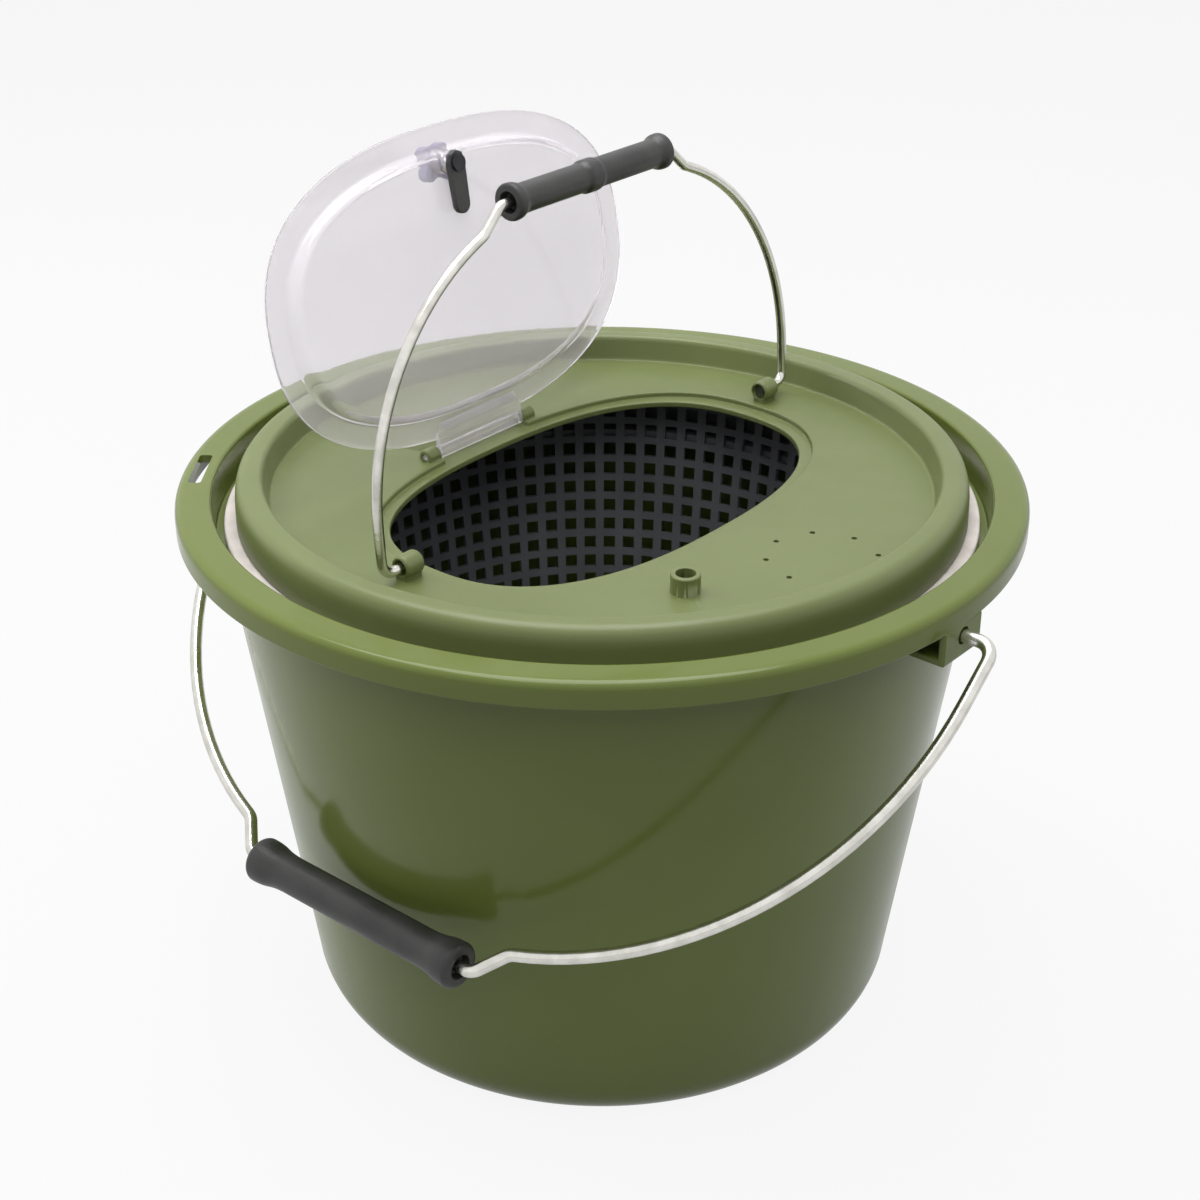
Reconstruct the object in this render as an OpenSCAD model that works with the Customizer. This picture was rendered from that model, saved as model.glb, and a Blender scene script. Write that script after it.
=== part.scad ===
// Aerated bait bucket: an outer bucket with a wire bail, and a lift-out insert that is a
// perforated basket under a floating cover with its own bail, a hinged lid and a turn latch.
// Millimetres. +Z is up, the origin is the centre of the base on the floor.
// X runs along the outer bail's pivots. The insert's bail pivots and the lid's hinge run along Y.

/* [Outer bucket] */
// Outer radius of the rim's skirt
rim_r = 150; // [148:0.5:156]
// Height of the bucket
bucket_h = 204; // [190:1:230]
// Outer radius of the tapered wall, just under the rim
wall_top_r = 135.3; // [134.5:0.1:136]
// Outer radius that the tapered wall would reach at the floor
wall_base_r = 109; // [100:1:115]
// Thickness of the bucket's wall
wall_t = 2.4; // [2:0.1:2.8]
// Radius of the round between wall and floor
base_round = 19; // [12:1:22]
// Radius of the rim's mouth
mouth_r = 137.5; // [137:0.1:138.5]
// Height of the rim's skirt
skirt_h = 9.1; // [8:0.1:11]
// Depth of the ledge that carries the insert, below the rim
ledge_depth = 13.1; // [12:0.1:14.5]
// How far the ledge stands in from the wall
ledge_in = 2; // [1.5:0.1:2.4]
// Thickness of the ledge
ledge_t = 3; // [2:0.1:4]

/* [Rim slot] */
// Direction of the accessory slot, counted from +X
slot_turn = 218.6; // [205:0.1:235]
// Length of the accessory slot
slot_len = 24; // [16:1:28]
// Width of the accessory slot
slot_w = 4.6; // [4.2:0.1:5.4]

/* [Outer bail] */
// Diameter of the outer bail's wire
outer_wire_d = 4.5; // [4:0.1:5]
// Depth of the outer bail's pivot, below the rim
outer_pivot_depth = 13; // [12.5:0.1:14.5]
// Reach of the outer bail, from its pivots to the grip's axis
outer_rise = 167; // [160:1:175]
// Half of the outer bail's span
outer_span = 161.7; // [160:0.1:165]
// How far the hanging bail leans out, from straight down
outer_lean = 51; // [50.5:0.5:60]
// Length of the outer grip
outer_grip_len = 97; // [85:1:105]
// Radius of the outer grip's flared ends
outer_grip_end_r = 8.2; // [7:0.1:8.6]
// Radius of the outer grip's waist
outer_grip_waist_r = 6.5; // [5:0.1:6.8]

/* [Lugs] */
// Width of a lug
lug_w = 22; // [16:1:28]
// Thickness of a lug's plate and web
lug_t = 2.6; // [2:0.1:3]
// Distance from the pivot down to the lug's underside
lug_drop = 7.5; // [6:0.1:9]

/* [Float ring] */
// Outer radius of the float ring's upper part
ring_r = 133.6; // [133.3:0.1:134.2]
// Inner radius of the float ring
ring_bore_r = 121.6; // [121.2:0.1:123]
// Depth of the float ring's top, below the rim
ring_top_depth = 9; // [8:0.1:9.4]
// Depth of the float ring's underside, below the rim
ring_low_depth = 30; // [24:1:34]

/* [Cover] */
// Outer radius of the cover
cover_r = 129.4; // [128.5:0.1:130]
// Height of the cover's crest above the rim
crest_h = 6.5; // [5:0.1:9]
// Inner radius of the crest
crest_in_r = 119.4; // [119.2:0.1:120.4]
// Radius of the sunk deck
deck_r = 117.2; // [117:0.1:118]
// Depth of the deck below the rim
deck_depth = 3; // [2:0.1:4]
// Thickness of the cover
cover_t = 2.4; // [2:0.1:2.6]

/* [Opening] */
// Half length of the hand opening
open_a = 85.5; // [80:0.5:86]
// Half width of the hand opening
open_b = 52.5; // [50:0.5:53]
// Half length of the rebate round the opening
rebate_a = 91; // [90.8:0.1:91.4]
// Half width of the rebate round the opening
rebate_b = 56.2; // [56:0.1:56.6]
// Depth of the rebate
rebate_depth = 2; // [1.8:0.1:2.2]
// Fullness of the opening's and the lid's outline: 2 is an ellipse
fullness = 2.5; // [2.4:0.1:2.6]

/* [Air] */
// Radius of the air nipple's bore
air_bore_r = 3.4; // [2.6:0.1:3.6]
// Outer radius of the air nipple
air_r = 5; // [4.6:0.1:6]
// Height of the air nipple above the deck
air_h = 6.4; // [5:0.1:7]
// Place of the air nipple along X
air_x = 75; // [72:1:78]
// Place of the air nipple along Y
air_y = -48; // [-52:1:-44]
// Radius of one vent hole
vent_r = 1; // [0.8:0.1:1.5]
// Radius of the ring of vent holes
vent_ring_r = 18.8; // [14:0.1:19]
// Place of the ring of vent holes along X
vent_x = 95; // [92:1:96]
// Number of vent holes
vent_count = 8; // [6:1:10]

/* [Inner bail] */
// Diameter of the inner bail's wire
inner_wire_d = 3.5; // [3:0.1:3.8]
// Height of the inner bail's pivot above the deck
inner_pivot_h = 4.5; // [4.4:0.1:5]
// Reach of the inner bail, from its pivots to the grip's axis, so that the closing lid passes under it
inner_rise = 105.5; // [105.3:0.1:106]
// Half of the inner bail's span
inner_span = 109.3; // [108:0.1:110]
// How far the standing bail leans towards the open lid
inner_lean = 3.5; // [0:0.5:3.5]
// Length of the inner grip
inner_grip_len = 79; // [75:1:80]
// Radius of the inner grip's end flanges
inner_grip_end_r = 6.3; // [6:0.1:6.4]
// Radius of the inner grip's tube
inner_grip_r = 5; // [4:0.1:5.4]
// Outer radius of a bail boss on the deck
boss_r = 4; // [3.6:0.1:4.2]
// Length of a bail boss
boss_len = 8; // [6:0.5:9]

/* [Lid] */
// Half length of the lid
lid_a = 90; // [89:0.1:90.2]
// Half width of the lid
lid_b = 55; // [54:0.1:55.2]
// Thickness of the lid
lid_t = 1.6; // [1.2:0.1:1.8]
// Width of the lid's flange
flange_w = 9.8; // [9:0.1:11]
// Depth of the lid's dish
dish_depth = 4.3; // [3:0.1:5]
// How far the lid stands open, from closed
lid_open = 100; // [92:1:104]
// Distance from the lid's edge to its hinge axis
hinge_gap = 5; // [4.8:0.1:5.4]
// Height of the hinge axis above the deck
hinge_h = 1.2; // [1.1:0.1:1.6]
// Width of the hinge tab
tab_w = 44; // [36:1:48]
// Radius of the hinge tab's barrel
barrel_r = 2.4; // [2.2:0.1:2.5]
// Radius of the tab's pivot stubs
stub_r = 1.5; // [1.2:0.1:1.7]
// Length of a hinge knuckle
knuckle_len = 6; // [4:0.5:7]
// Outer radius of a hinge knuckle
knuckle_r = 3; // [2.6:0.1:3.2]

/* [Latch] */
// Distance of the latch shaft from the lid's free edge
latch_in = 13.5; // [13:0.1:15]
// Outer radius of the latch boss
latch_boss_r = 4; // [3.8:0.1:4.4]
// Radius of the latch shaft
shaft_r = 2.5; // [2:0.1:2.7]
// Length of the latch boss below the dish
latch_boss_drop = 1.5; // [1:0.1:2.5]
// Reach of the latch lever from its shaft
lever_reach = 18; // [16:0.1:18.4]
// Half width of the latch lever
lever_half_w = 3.5; // [3:0.1:3.8]
// Thickness of the latch lever
lever_t = 2.5; // [2:0.1:3]
// Radius of the latch knob over its lobes
knob_r = 8; // [7:0.1:8.4]
// Height of the latch knob
knob_h = 5; // [4:0.1:6.5]

/* [Basket] */
// Outer radius of the basket at its collar
basket_top_r = 109.5; // [105:0.5:110]
// Outer radius of the basket at its bottom
basket_low_r = 92; // [85:1:94]
// Depth of the basket's bottom, below the rim
basket_depth = 180; // [170:1:184]
// Thickness of the basket's wall
basket_t = 2; // [1.6:0.1:2.6]
// Windows round the basket
basket_columns = 24; // [16:2:36]
// Rows of windows
basket_rows = 5; // [3:1:8]
// Width of a window
window_w = 15; // [8:0.5:16]
// Height of a window
window_h = 20; // [8:0.5:22]

/* [Hidden] */
// Gap between seated faces of different bodies
seat_gap = 0.3;
// Radial clearance of a running fit
run_gap = 0.08;
// How far a wire's straight run reaches into its bends, and how much thicker the bends are
run_lap = 0.3;
bend_swell = 0.04;
// Overlap that joins solids of one piece
weld = 0.5;
// Smoothness of round solids and of fine round solids
round_fn = 96;
fine_fn = 32;

// Levels, counted from the floor
rim_z = bucket_h;
deck_z = rim_z - deck_depth;
crest_z = rim_z + crest_h;
ledge_z = rim_z - ledge_depth;
ring_top_z = rim_z - ring_top_depth;
ring_low_z = rim_z - ring_low_depth;
cover_low_z = ring_top_z + seat_gap;
rebate_z = deck_z - rebate_depth;
lip_t = cover_t - 0.2;
lip_low_z = rebate_z - lip_t;
outer_pivot_z = rim_z - outer_pivot_depth;
inner_pivot_z = deck_z + inner_pivot_h;
hinge_x = -lid_b - hinge_gap;
hinge_z = deck_z + hinge_h;
basket_low_z = rim_z - basket_depth;
collar_drop = 6.6;
collar_z = deck_z - cover_t - collar_drop;
lid_sink = 0.1;
lid_top = deck_z - lid_sink;
lid_low = lid_top - lid_t;
dish_low = lid_low - dish_depth;
latch_low = dish_low - latch_boss_drop;
keeper_gap = 0.1;
keeper_low = latch_low + keeper_gap;

// Outer radius of the bucket's tapered wall at a height
function wall_r(z) = wall_base_r + (wall_top_r - wall_base_r) * z / (rim_z - skirt_h);
// Outer radius of the basket at a height
function basket_r(z) =
    basket_low_r + (basket_top_r - basket_low_r) * (z - basket_low_z) / (collar_z - basket_low_z);
// Power of a cosine or sine that keeps its sign
function bent(v, p) = sign(v) * pow(abs(v), p);
// Outline of a full oval with half width b along X and half length a along Y
function oval(a, b, count = 72) =
    [for (i = [0:count - 1]) [b * bent(cos(i * 360 / count), 2 / fullness),
                              a * bent(sin(i * 360 / count), 2 / fullness)]];
// Points of an arc about a centre
function arc(cx, cy, r, from, to, count = 8) =
    [for (i = [0:count]) let (t = from + (to - from) * i / count) [cx + r * cos(t), cy + r * sin(t)]];

module spin(points) {
    rotate_extrude($fn = round_fn) polygon(points);
}

module oval_plate(a, b, low, high) {
    translate([0, 0, low]) linear_extrude(high - low) polygon(oval(a, b));
}

// Outer bucket
band_r = mouth_r + 1.5;
band_low = ledge_z - ledge_t - 0.4;
skirt_t = wall_t;
foot_h = 3;
foot_in = 14;
foot_slope = 2;
rim_round = 3.1;
slot_back = 2.2;
lip_round = 1;
rim_dip = 0.6;
lug_plate_x = rim_r - lug_t;

module bucket_shell() {
    floor_r = wall_r(base_round) - base_round;
    in_round = base_round - wall_t;
    floor_z = foot_h + wall_t;
    spin(concat(
        [[0, foot_h], [floor_r - foot_in, foot_h], [floor_r - foot_in + foot_slope, 0], [floor_r, 0]],
        arc(floor_r, base_round, base_round, -90, 0, 10),
        [[wall_r(band_low), band_low], [band_r, band_low + 0.8], [band_r, rim_z - wall_t],
         [rim_r - skirt_t, rim_z - wall_t - rim_dip], [rim_r - skirt_t, rim_z - skirt_h],
         [rim_r, rim_z - skirt_h]],
        arc(rim_r - rim_round, rim_z - rim_round, rim_round, 0, 90, 6),
        arc(mouth_r + lip_round, rim_z - lip_round, lip_round, 90, 180, 3),
        [[mouth_r - 0.9, ledge_z], [wall_r(ledge_z) - wall_t - ledge_in, ledge_z],
         [wall_r(ledge_z) - wall_t - ledge_in, ledge_z - ledge_t],
         [wall_r(ledge_z - ledge_t - ledge_in) - wall_t, ledge_z - ledge_t - ledge_in]],
        arc(floor_r, floor_z + in_round, in_round, 0, -90, 8),
        [[0, floor_z]]));
}

module lug() {
    low = outer_pivot_z - lug_drop;
    web_in = wall_r(low) - wall_t / 2;
    translate([lug_plate_x, -lug_w / 2, low]) cube([lug_t, lug_w, rim_z - skirt_h + weld - low]);
    translate([web_in, -lug_w / 2, low]) cube([rim_r - web_in, lug_w, lug_t]);
}

module outer_bucket() {
    color("olivedrab") difference() {
        union() {
            bucket_shell();
            lug();
            mirror([1, 0, 0]) lug();
        }
        for (side = [0, 180]) rotate([0, 0, side]) translate([band_r + 1, 0, outer_pivot_z])
            rotate([0, 90, 0]) cylinder(r = outer_wire_d / 2 + run_gap, h = rim_r - band_r, $fn = fine_fn);
        rotate([0, 0, slot_turn]) translate([band_r + slot_back, -slot_len / 2, rim_z - wall_t - 2])
            cube([slot_w, slot_len, wall_t + 4]);
    }
}

// Wire path made of straight runs and arcs in the XZ plane; turns bend towards -Z.
// Bends are a hair thicker than runs, whose ends reach into them, so that the two join.
module run(d, len) {
    translate([-run_lap, 0, 0]) rotate([0, 90, 0]) cylinder(d = d, h = len + 2 * run_lap, $fn = fine_fn);
    translate([len, 0, 0]) children();
}

module bend(d, r, angle) {
    dir = angle > 0 ? 1 : -1;
    turn = abs(angle);
    translate([0, 0, -dir * r]) rotate([90, 0, 0])
        rotate([0, 0, dir > 0 ? 90 - turn : -90])
            rotate_extrude(angle = turn, $fn = round_fn) translate([r, 0])
                circle(d = d + bend_swell, $fn = fine_fn);
    translate([r * sin(turn), 0, -dir * r * (1 - cos(turn))]) rotate([0, angle, 0]) children();
}

// Half of a bail, standing up: from the end of the grip's straight run out to its pivot pin
module bail_half(d, rise, span, straight, kink, kink_run, shoulder, shoulder_run, pin_in) {
    kink_r = d * 1.5;
    bend_r = d * 1.3;
    x1 = straight + kink_r * sin(kink) + kink_run * cos(kink);
    z1 = rise - kink_r * (1 - cos(kink)) - kink_run * sin(kink);
    x2 = x1 + kink_r * (sin(kink) - sin(shoulder)) + shoulder_run * cos(shoulder);
    z2 = z1 - kink_r * (cos(shoulder) - cos(kink)) - shoulder_run * sin(shoulder);
    arch_r = (span - x2) / (1 - sin(shoulder));
    leg = z2 - arch_r * cos(shoulder) - bend_r;
    translate([straight, 0, rise]) bend(d, kink_r, kink) run(d, kink_run)
        bend(d, kink_r, shoulder - kink) run(d, shoulder_run) bend(d, arch_r, 90 - shoulder)
            run(d, leg) bend(d, bend_r, 90) run(d, span - bend_r - pin_in);
}

module bail(d, rise, span, grip_len, kink, kink_run, shoulder, shoulder_run, pin_in) {
    straight = grip_len / 2 + 1.5;
    translate([-straight, 0, rise]) run(d, 2 * straight);
    for (side = [0, 1]) mirror([side, 0, 0])
        bail_half(d, rise, span, straight, kink, kink_run, shoulder, shoulder_run, pin_in);
}

// Turn and run of the outer bail's step beside its grip, then of its shoulder
outer_kink = 50;
outer_kink_run = 9.5;
outer_shoulder = 18;
outer_shoulder_run = 0.5;

module place_outer_bail() {
    translate([0, 0, outer_pivot_z]) rotate([180 - outer_lean, 0, 0]) children();
}

module outer_bail() {
    color("silver") place_outer_bail()
        bail(outer_wire_d, outer_rise, outer_span, outer_grip_len, outer_kink, outer_kink_run,
                 outer_shoulder, outer_shoulder_run, band_r + 3);
}

module grip(len, end_r, waist_r, wire_d, points) {
    bore = wire_d / 2 + run_gap;
    rotate([0, 90, 0]) spin(concat([[bore, -len / 2]], points, [[bore, len / 2]]));
}

module outer_grip() {
    half = outer_grip_len / 2;
    flare = 9;
    color("dimgray") place_outer_bail() translate([0, 0, outer_rise])
        grip(outer_grip_len, outer_grip_end_r, outer_grip_waist_r, outer_wire_d,
            [[outer_grip_end_r - 1, -half], [outer_grip_end_r, -half + 1], [outer_grip_end_r, -half + 4],
             [outer_grip_waist_r, -half + flare], [outer_grip_waist_r, half - flare],
             [outer_grip_end_r, half - 4], [outer_grip_end_r, half - 1], [outer_grip_end_r - 1, half]]);
}

// Insert: float ring, cover and basket
module float_ring() {
    seat_z = ledge_z + seat_gap;
    low_r = wall_r(ledge_z) - wall_t - ledge_in - 0.5;
    bottom_r = min(low_r, wall_r(ring_low_z) - wall_t - 0.6);
    color("gainsboro") spin([
        [ring_bore_r, ring_low_z], [bottom_r, ring_low_z], [low_r, seat_z],
        [ring_r, seat_z], [ring_r, ring_top_z - 1], [ring_r - 1, ring_top_z], [ring_bore_r, ring_top_z]]);
}

screw_ring_r = (basket_top_r + ring_bore_r) / 2 - 2.2;
screw_r = 1.5;
screw_len = 9;
screw_count = 4;
screw_head_r = 2.8;
screw_head_t = 1.8;
head_gap = 0.02;
screw_turn = 45;
screw_boss_r = 3.4;

module at_screws() {
    for (i = [0:screw_count - 1]) rotate([0, 0, screw_turn + i * 360 / screw_count])
        translate([screw_ring_r, 0, 0]) children();
}

module cover_shell() {
    shoulder = 6.2;
    under = deck_z - cover_t;
    side_top = crest_z - shoulder;
    spin(concat(
        [[0, under], [deck_r + cover_t + 0.2, under], [crest_in_r + cover_t * 0.7, crest_z - cover_t - 1.2],
         [crest_in_r + cover_t * 0.7 + 1.4, crest_z - cover_t]],
        arc(cover_r - 0.4 - shoulder, side_top, shoulder - cover_t, 90, 0, 6),
        [[cover_r - cover_t, cover_low_z], [cover_r, cover_low_z]],
        arc(cover_r - 0.4 - shoulder, side_top, shoulder, 0, 90, 8),
        arc(crest_in_r + 2, crest_z - 2, 2, 90, 180, 4),
        [[deck_r + 0.6, deck_z + 1], [deck_r, deck_z], [0, deck_z]]));
}

knuckle_y = tab_w / 2 + 0.6;

module knuckles() {
    for (side = [0, 1]) mirror([0, side, 0]) translate([hinge_x, knuckle_y, 0]) {
        translate([0, 0, hinge_z]) rotate([-90, 0, 0])
            cylinder(r = knuckle_r, h = knuckle_len, $fn = fine_fn);
        translate([-knuckle_r, 0, deck_z - weld])
            cube([2 * knuckle_r, knuckle_len, hinge_z - deck_z + weld]);
    }
}

boss_gap = 2.8;
boss_y = rebate_a + boss_gap;

module bail_bosses() {
    for (side = [0, 1]) mirror([0, side, 0]) translate([0, boss_y, 0]) {
        translate([0, 0, inner_pivot_z]) rotate([-90, 0, 0])
            cylinder(r = boss_r, h = boss_len, $fn = fine_fn);
        translate([-boss_r, 0, deck_z - weld]) cube([2 * boss_r, boss_len, inner_pivot_h + weld]);
    }
}

// Block under the opening's free edge that the latch lever turns under
keeper_w = 28;
keeper_t = 9;
keeper_back = 0.4;

module top_cover() {
    color("olivedrab") difference() {
        union() {
            cover_shell();
            oval_plate(rebate_a + cover_t, rebate_b + cover_t, lip_low_z, deck_z - weld);
            knuckles();
            bail_bosses();
            translate([hinge_x - knuckle_r - 1.5, -knuckle_y - 2, lip_low_z])
                cube([-hinge_x + knuckle_r + 1.5 - rebate_b, 2 * knuckle_y + 4, deck_z - weld - lip_low_z]);
            translate([air_x, air_y, deck_z - weld]) cylinder(r = air_r, h = air_h + weld, $fn = fine_fn);
            translate([open_b + keeper_back, -keeper_w / 2, keeper_low])
                cube([keeper_t, keeper_w, deck_z - weld - keeper_low]);
            at_screws() translate([0, 0, collar_z]) cylinder(r = screw_boss_r, h = deck_z - weld - collar_z,
                                                             $fn = fine_fn);
        }
        oval_plate(open_a, open_b, lip_low_z - 1, deck_z + 1);
        oval_plate(rebate_a, rebate_b, rebate_z, deck_z + 1);
        translate([hinge_x - knuckle_r, -knuckle_y, rebate_z])
            cube([-hinge_x + knuckle_r - open_b, 2 * knuckle_y, 2 * knuckle_r]);
        translate([hinge_x, -knuckle_y - knuckle_len - 1, hinge_z]) rotate([-90, 0, 0])
            cylinder(r = stub_r + run_gap, h = 2 * (knuckle_y + knuckle_len + 1), $fn = fine_fn);
        for (side = [0, 1]) mirror([0, side, 0]) translate([0, boss_y - 1, inner_pivot_z])
            rotate([-90, 0, 0]) cylinder(d = inner_wire_d + 2 * run_gap, h = boss_len + 2, $fn = fine_fn);
        translate([air_x, air_y, deck_z - cover_t - 1])
            cylinder(r = air_bore_r, h = air_h + cover_t + 2, $fn = fine_fn);
        for (i = [0:vent_count - 1]) rotate_vent(i) translate([0, 0, deck_z - cover_t - 1])
            cylinder(r = vent_r, h = cover_t + 2, $fn = fine_fn);
        at_screws() translate([0, 0, collar_z - 1]) cylinder(r = screw_r, h = 8, $fn = fine_fn);
    }
}

module rotate_vent(i) {
    translate([vent_x, 0, 0]) rotate([0, 0, 45 + i * 360 / vent_count])
        translate([vent_ring_r, 0, 0]) children();
}

collar_t = 2.4;
collar_r = ring_bore_r - 1.6;
shelf_r = ring_r - 6;
seat_lap = 0.05;
first_row = 6;
top_band = 12;
bottom_band = 8;

module basket() {
    top_z = collar_z - seat_lap;
    in_low = basket_low_z + basket_t;
    row_gap = (top_z - top_band - in_low - bottom_band) / basket_rows;
    flange_z = ring_low_z - seat_lap;
    color("dimgray") difference() {
        union() {
            spin([[0, basket_low_z], [basket_low_r, basket_low_z], [basket_top_r, top_z - collar_t],
                  [collar_r, top_z - collar_t], [collar_r, top_z], [basket_top_r - basket_t, top_z],
                  [basket_low_r - basket_t, in_low], [0, in_low]]);
            spin([[basket_r(flange_z) - 1, flange_z - collar_t], [shelf_r, flange_z - collar_t],
                  [shelf_r, flange_z], [basket_r(flange_z) - 1, flange_z]]);
        }
        for (row = [0:basket_rows - 1], column = [0:basket_columns - 1])
            let (low = in_low + first_row + row * row_gap)
                rotate([0, 0, (column + 0.5) * 360 / basket_columns])
                    translate([basket_r(low) - basket_t - 3, -window_w / 2, low])
                        cube([basket_t + 8, window_w, window_h]);
        at_screws() translate([0, 0, top_z - collar_t - 1])
            cylinder(r = screw_r + 0.2, h = collar_t + 2, $fn = fine_fn);
    }
}

// Screw whose head's bearing face is at z = 0
module screw(r, len, head_r, head_t) {
    translate([0, 0, -head_t / 2]) cylinder(r = r, h = len + head_t / 2, $fn = fine_fn);
    translate([0, 0, -head_t]) cylinder(r = head_r, h = head_t, $fn = fine_fn);
}

module cover_screws() {
    color("silver") at_screws() translate([0, 0, collar_z - seat_lap - collar_t - head_gap])
        screw(screw_r, screw_len, screw_head_r, screw_head_t);
}

// Turn and run of the inner bail's step beside its grip, then of its shoulder
inner_kink = 42;
inner_kink_run = 9;
inner_shoulder = 22;
inner_shoulder_run = 2.5;

module place_inner_bail() {
    translate([0, 0, inner_pivot_z]) rotate([0, -inner_lean, 0]) rotate([0, 0, 90]) children();
}

module inner_bail() {
    color("silver") place_inner_bail()
        bail(inner_wire_d, inner_rise, inner_span, inner_grip_len, inner_kink, inner_kink_run,
                 inner_shoulder, inner_shoulder_run, boss_y + 1);
}

module inner_grip() {
    half = inner_grip_len / 2;
    ring_half = 3;
    ring_grow = 0.7;
    color("dimgray") place_inner_bail() translate([0, 0, inner_rise])
        grip(inner_grip_len, inner_grip_end_r, inner_grip_r, inner_wire_d,
            [[inner_grip_end_r - 0.6, -half], [inner_grip_end_r, -half + 0.6], [inner_grip_end_r, -half + 3],
             [inner_grip_r, -half + 5], [inner_grip_r, -ring_half - 1],
             [inner_grip_r + ring_grow, -ring_half], [inner_grip_r + ring_grow, ring_half],
             [inner_grip_r, ring_half + 1], [inner_grip_r, half - 5],
             [inner_grip_end_r, half - 3], [inner_grip_end_r, half - 0.6], [inner_grip_end_r - 0.6, half]]);
}

// Lid and latch, drawn closed and then swung open about the hinge
latch_x = lid_b - latch_in;

module place_lid() {
    translate([hinge_x, 0, hinge_z]) rotate([0, -lid_open, 0]) translate([-hinge_x, 0, -hinge_z]) children();
}

module lid() {
    dish_a = lid_a - flange_w;
    dish_b = lid_b - flange_w;
    tab_z = max(lid_low, hinge_z - barrel_r);
    color("lavender") place_lid() difference() {
        union() {
            difference() {
                union() {
                    oval_plate(lid_a, lid_b, lid_low, lid_top);
                    oval_plate(dish_a, dish_b, dish_low, lid_top);
                }
                oval_plate(dish_a - lid_t, dish_b - lid_t, dish_low + lid_t, lid_top + 1);
            }
            translate([hinge_x, -tab_w / 2, tab_z]) cube([hinge_gap + 2.5, tab_w, lid_t + 0.6]);
            translate([hinge_x, -tab_w / 2, hinge_z]) rotate([-90, 0, 0])
                cylinder(r = barrel_r, h = tab_w, $fn = fine_fn);
            translate([hinge_x, -knuckle_y - knuckle_len + 0.5, hinge_z]) rotate([-90, 0, 0])
                cylinder(r = stub_r, h = 2 * (knuckle_y + knuckle_len - 0.5), $fn = fine_fn);
            translate([latch_x, 0, latch_low])
                cylinder(r = latch_boss_r, h = lid_top - latch_low, $fn = fine_fn);
        }
        translate([latch_x, 0, latch_low - 1])
            cylinder(r = shaft_r + run_gap, h = lid_top - latch_low + 2, $fn = fine_fn);
    }
}

lever_top = latch_low - seat_gap;
shaft_low = lever_top - lever_t;
lobe_r = 2.4;
rib_w = 3.8;
lobe_drop = 1;
pin_screw_r = 0.9;
pin_screw_len = 7;
pin_screw_head_r = 3;
pin_screw_head_t = 1.1;

module latch_knob() {
    lobes = 4;
    color("dimgray") place_lid() translate([latch_x, 0, lid_top + seat_gap]) difference() {
        union() {
            cylinder(r = latch_boss_r + 1.2, h = knob_h, $fn = fine_fn);
            for (i = [0:lobes - 1]) rotate([0, 0, 45 + i * 360 / lobes]) translate([knob_r - lobe_r, 0, 0])
                cylinder(r = lobe_r, h = knob_h - lobe_drop, $fn = fine_fn);
            for (i = [0:1]) rotate([0, 0, 45 + i * 90]) translate([lobe_r - knob_r, -rib_w / 2, 0])
                cube([2 * (knob_r - lobe_r), rib_w, knob_h - lobe_drop]);
            translate([0, 0, shaft_low - lid_top - seat_gap])
                cylinder(r = shaft_r, h = lid_top + seat_gap - shaft_low + 1, $fn = fine_fn);
        }
        translate([0, 0, shaft_low - lid_top - seat_gap - 1])
            cylinder(r = pin_screw_r, h = pin_screw_len + 2, $fn = fine_fn);
    }
}

module latch_lever() {
    color("dimgray") place_lid() translate([latch_x, 0, shaft_low]) difference() {
        union() {
            cylinder(r = lever_half_w + 0.6, h = lever_t, $fn = fine_fn);
            translate([-lever_reach + lever_half_w, -lever_half_w, 0])
                cube([lever_reach - lever_half_w, 2 * lever_half_w, lever_t]);
            translate([-lever_reach + lever_half_w, 0, 0])
                cylinder(r = lever_half_w, h = lever_t, $fn = fine_fn);
        }
        translate([0, 0, -1]) cylinder(r = shaft_r, h = lever_t + 2, $fn = fine_fn);
    }
}

module latch_screw() {
    color("silver") place_lid() translate([latch_x, 0, shaft_low])
        screw(pin_screw_r, pin_screw_len, pin_screw_head_r, pin_screw_head_t);
}

outer_bucket();
outer_bail();
outer_grip();
basket();
float_ring();
top_cover();
cover_screws();
inner_bail();
inner_grip();
lid();
latch_knob();
latch_lever();
latch_screw();
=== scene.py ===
import math

import bmesh
import bpy
from mathutils import Matrix, Vector


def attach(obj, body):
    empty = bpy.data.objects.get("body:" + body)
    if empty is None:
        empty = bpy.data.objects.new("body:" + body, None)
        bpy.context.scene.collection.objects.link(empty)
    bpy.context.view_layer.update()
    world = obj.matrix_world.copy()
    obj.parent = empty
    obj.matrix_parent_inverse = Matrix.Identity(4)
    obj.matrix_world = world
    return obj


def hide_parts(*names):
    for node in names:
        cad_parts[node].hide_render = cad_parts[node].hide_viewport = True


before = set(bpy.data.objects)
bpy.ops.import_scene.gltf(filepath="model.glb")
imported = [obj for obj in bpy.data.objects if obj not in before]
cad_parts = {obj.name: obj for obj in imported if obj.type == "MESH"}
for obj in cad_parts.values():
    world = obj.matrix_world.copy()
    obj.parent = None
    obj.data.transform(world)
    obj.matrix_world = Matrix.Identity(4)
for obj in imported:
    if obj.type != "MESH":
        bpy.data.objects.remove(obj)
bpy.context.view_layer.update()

# Sizes are in millimetres, as on the part's drawing, and turn to metres where a mesh is made
MM = 0.001
RIM_Z = 204.0
DECK_Z = 201.0
CREST_Z = 210.5
WALL_T = 2.4
LEDGE_Z = 190.9
SKIRT_LOW_Z = 194.9
RIM_R = 150.0
WALL_LOW_R, WALL_TOP_R = 109.0, 135.3
MOUTH_R = 137.5
BAND_R = 139.0
BAND_LOW = 187.5
OPEN_A, OPEN_B = 85.5, 52.5
REBATE_A, REBATE_B = 91.0, 56.2
REBATE_Z = 199.0
LIP_LOW_Z = 196.8
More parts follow.
